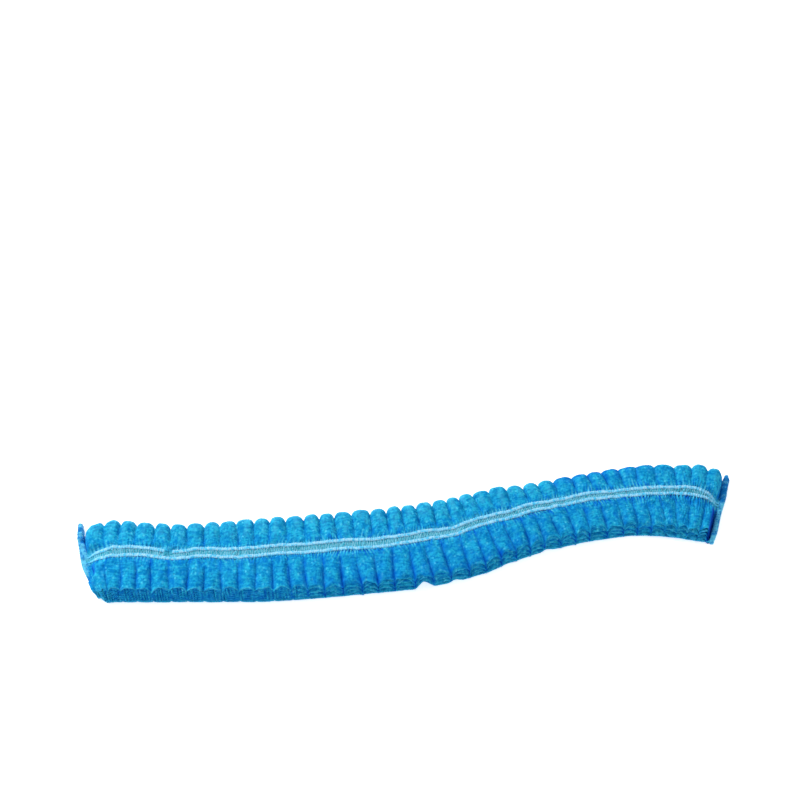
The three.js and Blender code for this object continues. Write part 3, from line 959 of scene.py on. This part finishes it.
def makeTop():
    # Top layer, from the cut front edge over the back fold and a little way in under it
    s = clothLength(sheet["topColumns"])[None, :]
    even = np.linspace(-1, 1, sheet["topRows"])
    flat = even - sheet["rowShift"] * np.sin(2 * math.pi * even) / (2 * math.pi)
    tuck = np.array([(sheet["flatReach"], 0, 1), (0.85, 0, 1)])
    turn = foldTurn(0, 1, sheet["foldRows"]["top"])
    path = np.vstack([np.stack([flat, 0 * flat, 0 * flat], axis=1), turn, tuck])
    share, out, depth = (path[:, i, None] for i in range(3))
    across = acrossOf(share, out, s, np.where(share < 0, frontScallop(s), 1), 1)
    ruffle = waver(91, s, sheet["ruffle"]) * grow(0.5, looseShare(s))
    across = across + ruffle * np.clip(-share, 0, 1) ** 12
    up = strip["height"] - topSag(s, across) - droop(s, share) - depth * layerPitch
    puckered = pucker(s) * bell((across - tapeMiddle(s) - cordGap(s)) / gathers["puckerWidth"])
    up = up + topRelief(s, across) * (1 - depth) + gathers["puckerHeight"] * puckered
    points = layCloth(s, across, up * pinch(s, across))
    gap = tapeDistance(s, across)
    web = (ease(-(gap + cordHalf) / 0.0005) + 0.3 * ease(1 - gap / 0.0009)) * (1 - puckered)
    tone = topTone(s, across, share, depth, puckered)
    seam = int(np.argmin(np.abs(flat * stripWidth / 2 - sheet["seam"])))
    for name, rows in (("crown_top_front", slice(0, seam + 1)), ("crown_top_back", slice(seam, None))):
        clothPiece(name, points[rows], tone[rows], web[rows])


def makeStack():
    # The pleats between the top and the underside, in two pieces that meet inside a layer
    s, middle = clothLength(sheet["stackColumns"]), lastLayer // 2
    for name, first, last, below in (("crown_stack_upper", 1, middle, "crown_stack_lower"),
                                     ("crown_stack_lower", middle, lastLayer - 1, "crown_under")):
        points, tone = stackPoints(stackPath(first, last), s)
        clothPiece(name, points, tone)


def makeUnder():
    # Lowest layer: starts with the front fold, lies on the floor at its ribs, rises over the tape
    s = clothLength(sheet["underColumns"])[None, :]
    turn = foldTurn(lastLayer - 1, -1, sheet["foldRows"]["under"])
    flat = np.linspace(-0.98, 1, sheet["underRows"])
    bottom = np.stack([flat, 0 * flat, 0 * flat + lastLayer], axis=1)
    path = np.vstack([[(-0.9, 0, lastLayer - 1)], turn, bottom])
    share, out, depth = (path[:, i, None] for i in range(3))
    ribs = np.where(share < 0, -sheet["underBulge"] * looseShare(s), sheet["underScallop"])
    across = acrossOf(share, out, s, ribs, (lastLayer - depth) / lastLayer)
    gap = tapeDistance(s, across)
    calm = grow(gathers["calm"], ease(gap / gathers["calmBack"]))
    up = sheet["floorGap"] + (lastLayer - depth) * layerPitch
    up = up + sheet["underGroove"] * calm * ribSink(s, across) ** 2
    height, full, none = sheet["underTape"]
    up = up + height * (1 - ease((gap - full) / (none - full)))
    dents = softNoise(72, s, across, (1, 0.002, 0.0022)).clip(-1, 1)
    up = up + sheet["underCrimp"] * (1 + crimp(s, across)) + sheet["underDent"] * (1 + dents)
    tone = foldTone(share, depth) + tones["under"]
    clothPiece("crown_under", layCloth(s, across, up), tone)


makeTop()
makeStack()
makeUnder()
print("crown folded")

# Elastic tapes
tape = {
    "cordWide": 0.00074,
    "cordHigh": 0.00034,
    "stitch": 0.00085,
    "stitchSwing": (0.3, 0.004),
    "wrap": (0.17, 0.12),  # how far each stitch swells the cord: all round, and as a spiral
    "wander": (0.00022, 0.012),
    "tremble": (0.00007, 0.003, 0.002),
    "sides": (8, 6),  # of the cords, above and below
    "steps": (1300, 715),
    "lacePitch": 0.0013,
    "laceSwing": (0.05, 3),  # uneven width, size in pitches
    "laceShift": (0.0001, 2),
    "laceRadius": 0.00009,
    "laceSpread": (0.15, 0.4),
    "laceSides": 4,
    "laceSteps": (16, 8.8),
    "intoSeal": 0.0006,
    "taper": 0.007,
    "endShares": (0.8, 0.35),  # share of the gap between the cords that is left at each end
    "relief": 0.35,  # share of the cloth's relief that the tape follows
    "lift": 0.0001,  # of the cords over the cloth
    "laceLift": 0.00002,
    "puckerSink": 0.0006,  # of the back cord under the pucker
    "floorGap": 0.00005,
    "endLength": 0.004,  # over which the cords grow thin and blue towards the seals
    "endThin": 0.5,
}


def capFaces(ring, flip):
    # Closes a ring of points with a ladder of four-sided faces
    half = len(ring) // 2
    low, high = ring[:half], ring[::-1][:half]
    quads = np.stack([low[:-1], low[1:], high[1:], high[:-1]], axis=1)
    return quads[:, ::-1] if flip else quads


def tubeFaces(rings, sides, flip=False):
    # Faces between the rings of a tube, and over its two ends
    number = np.arange(rings * sides).reshape(rings, sides)
    beside = np.roll(number, -1, axis=1)
    walls = np.stack([number[:-1], beside[:-1], beside[1:], number[1:]], axis=-1).reshape(-1, 4)
    walls = walls[:, [0, 3, 2, 1]] if flip else walls
    return np.vstack([walls, capFaces(number[0], not flip), capFaces(number[-1], flip)])


def tubeGrid(path, sideways, wide, high, sides):
    # Rings round a path, each an ellipse spanned by the sideways and upward directions
    angle = np.linspace(0, 2 * math.pi, sides, endpoint=False)
    upward = np.cross(np.gradient(path, axis=0), sideways)
    upward /= np.linalg.norm(upward, axis=1, keepdims=True)
    rings = (path[:, None] + sideways[:, None] * (wide * np.cos(angle))[..., None]
             + upward[:, None] * (high * np.sin(angle))[..., None])
    return rings.reshape(-1, 3), tubeFaces(len(path), sides)


def endEase(s):
    return ease(fromSeal(s) / tape["endLength"])


def tapeTaper(s):
    left, right = tape["endShares"]
    return grow(np.where(s < stripLength / 2, left, right), ease(fromSeal(s) / tape["taper"]))


def tapeLine(s, aside, under):
    # A line along the tape: it wanders a little, rides over the ribs and dives into the seals
    stray = waver(101, s, tape["wander"]) + softNoise(103, s, aside, tape["tremble"])
    across = tapeMiddle(s) + stray + aside * tapeTaper(s)
    if under:
        return across, np.full(s.shape, tape["cordHigh"] + tape["floorGap"])
    up = strip["height"] - topSag(s, across) + tape["relief"] * topRelief(s, across)
    return across, up * pinch(s, across) - tape["puckerSink"] * pucker(s) * (aside > 0)


def tapeTube(s, aside, radii, sides, under, lift):
    across, up = tapeLine(s, aside, under)
    path = layDown(s, across, up + (0 if under else lift))
    ahead = np.gradient(path, axis=0)
    sideways = np.stack([-ahead[:, 1], ahead[:, 0], 0 * ahead[:, 0]], axis=1)
    sideways /= np.linalg.norm(sideways, axis=1, keepdims=True)
    thin = grow(tape["endThin"], endEase(s)[:, None])
    return tubeGrid(path, sideways, radii[0] * thin, radii[1] * thin, sides)


def makeTape(name, node, under):
    # Two wrapped cords and a lace that goes to and fro between them, joined as one mesh
    sides, steps, laceSteps = (tape[key][under] for key in ("sides", "steps", "laceSteps"))
    s = np.linspace(-tape["intoSeal"], stripLength + tape["intoSeal"], steps)
    angle = np.linspace(0, 2 * math.pi, sides, endpoint=False)
    ring, spiral = tape["wrap"]
    shapes, blue = [], []
    for side in (-1, 1):
        turns = 2 * math.pi * (s / tape["stitch"] + waver(111 + side, s, tape["stitchSwing"]))[:, None]
        wrap = 1 + ring * np.cos(turns) + spiral * np.cos(2 * turns - 2 * angle * side)
        radii = (tape["cordWide"] * wrap, tape["cordHigh"] * wrap)
        shapes.append(tapeTube(s, side * cordGap(s), radii, sides, under, tape["lift"]))
        blue.append(np.repeat(1 - endEase(s), sides))
    laces = int(stripLength / tape["lacePitch"])
    t = np.linspace(0, laces, int(laces * laceSteps))
    toAndFro = np.sin((np.abs((t % 1) * 2 - 1) * 2 - 1) * math.pi / 2)
    lace = (t * tape["lacePitch"] + waver(123, t, tape["laceShift"])).clip(0, stripLength)
    radius = tape["laceRadius"] * (1 + waver(125, t, tape["laceSpread"])[:, None])
    aside = toAndFro * (1 + waver(121, t, tape["laceSwing"])) * cordGap(lace)
    shapes.append(tapeTube(lace, aside, (radius, radius), tape["laceSides"], under, tape["laceLift"]))
    blue.append(np.repeat(1 - endEase(lace), tape["laceSides"]))
    starts = np.cumsum([0] + [len(shapePoints) for shapePoints, shapeFaces in shapes])
    points = np.vstack([shapePoints for shapePoints, shapeFaces in shapes])
    faces = np.vstack([shapeFaces + start for (shapePoints, shapeFaces), start in zip(shapes, starts)])
    marks = {"tone": 1.0 * (np.arange(len(points)) >= starts[2]), "blue": np.concatenate(blue)}
    piece = newPiece(name, points, faces, yarn, marks=marks)
    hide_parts(node)


makeTape("elastic_tape_top", "elastic_top", False)
makeTape("elastic_tape_bottom", "elastic_bottom", True)
print("tapes laced")

# Fused ends
sealShape = {
    "steps": 260,
    "ring": 20,
    "squareness": 0.55,  # power of cosine and sine, 1 is round
    "flutePitch": 0.0011,
    "fluteForks": (0.6, 0.004),  # how far they are shaken out of line, in pitches
    "flute": 0.00012,
    "fluteLeast": 0.4,  # share of it on the upper and lower face
    "topWander": (0.00025, 0.006),
    "ragged": (0.0003, 0.0012),
    "topShare": 0.92,  # thickness at the upper edge
    "floorGap": 0.00005,
}


def boxy(wave):
    return np.sign(wave) * np.abs(wave) ** sealShape["squareness"]


def makeSeal(name):
    # A thin bar with a rounded oblong section (a power of cosine and sine), fluted by the
    # gathers that were pressed into it, with a ragged upper edge and sections read from its table
    end, shape, sections = sealEnds[name], sealShape, sealSections[name]
    share = np.linspace(0, 1, shape["steps"])[:, None]
    across = stripWidth * (-end["front"] + (end["front"] + end["back"]) * share)
    angle = np.linspace(0, 2 * math.pi, shape["ring"], endpoint=False)[None, :]
    thick, high, pale = (np.interp(share, sections[:, 0], sections[:, i]) for i in (1, 2, 3))
    upper = (1 + np.sin(angle)) / 2
    thin = strip["sealWidth"] / 2 * thick * (1 - (1 - shape["topShare"]) * upper)
    s = sealInner(end) + end["side"] * strip["sealWidth"] / 2 + boxy(np.cos(angle)) * thin
    flute = np.sin(2 * math.pi * (across / shape["flutePitch"] + waver(131, across, shape["fluteForks"])))
    s = s + shape["flute"] * flute * grow(shape["fluteLeast"], np.abs(np.cos(angle)))
    s = s + waver(133, across, shape["topWander"]) * upper
    top = strip["sealHeight"] * high + waver(135, across, shape["ragged"])
    points = layDown(s, across + 0 * s, (top * (1 + boxy(np.sin(angle))) / 2).clip(shape["floorGap"]))
    faces = tubeFaces(shape["steps"], shape["ring"], flip=True)
    piece = newPiece(name + "_fused", points, faces, fused, marks={"tone": pale + 0 * s})
    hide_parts(name)


for name in sealEnds:
    makeSeal(name)
print("ends fused")

# Stage, light and camera
studio = {
    "floorSize": 4.0,
    "floorColor": (0.9, 0.9, 0.9, 1),
    "floorGlow": 0.55,  # a lit table, so that hardly any shadow shows
    "light": (1, 1, 1, 1),
    "skyStrength": 0.72,
    "lampPower": 6.6,
    "lampPlace": (-0.52, 0.36, 0.6),
    "lampSize": 0.5,
    "cameraPlace": (-0.0031, -0.252828, 0.468862),
    "cameraDown": 56.0,  # degrees under level
    "focal": 1376.0,  # in pixels
    "pictureWidth": 800,
    "sensor": 36,
    "nearest": 0.01,
}


def makeStage():
    half = studio["floorSize"] / 2
    mesh = bpy.data.meshes.new("floor")
    corners = [(-half, -half, 0), (half, -half, 0), (half, half, 0), (-half, half, 0)]
    mesh.from_pydata(corners, [], [(0, 1, 2, 3)])
    floor = bpy.data.objects.new("floor", mesh)
    scene.collection.objects.link(floor)
    material, tree = nodeMaterial("paleFloor")
    coverWith(tree, {"Base Color": studio["floorColor"], "Roughness": 0.9, "Specular IOR Level": 0.1,
                     "Emission Color": studio["light"], "Emission Strength": studio["floorGlow"]})
    mesh.materials.append(material)


def makeLight():
    world = bpy.data.worlds.new("studio")
    scene.world = world
    world.use_nodes = True
    sky = world.node_tree.nodes["Background"].inputs
    sky["Color"].default_value = studio["light"]
    sky["Strength"].default_value = studio["skyStrength"]
    data = bpy.data.lights.new("softbox", "AREA")
    data.energy, data.size = studio["lampPower"], studio["lampSize"]
    lamp = bpy.data.objects.new("softbox", data)
    lamp.location = studio["lampPlace"]
    lamp.rotation_euler = (-lamp.location).to_track_quat("-Z", "Y").to_euler()
    scene.collection.objects.link(lamp)
    scene.view_settings.view_transform = "Standard"


def makeCamera():
    data = bpy.data.cameras.new("camera")
    data.sensor_width = studio["sensor"]
    data.lens = studio["sensor"] * studio["focal"] / studio["pictureWidth"]
    data.clip_start = studio["nearest"]
    camera = bpy.data.objects.new("camera", data)
    camera.location = studio["cameraPlace"]
    camera.rotation_euler = (math.radians(90 - studio["cameraDown"]), 0, 0)
    scene.collection.objects.link(camera)
    scene.camera = camera


makeStage()
makeLight()
makeCamera()
print("stage, light and camera set")
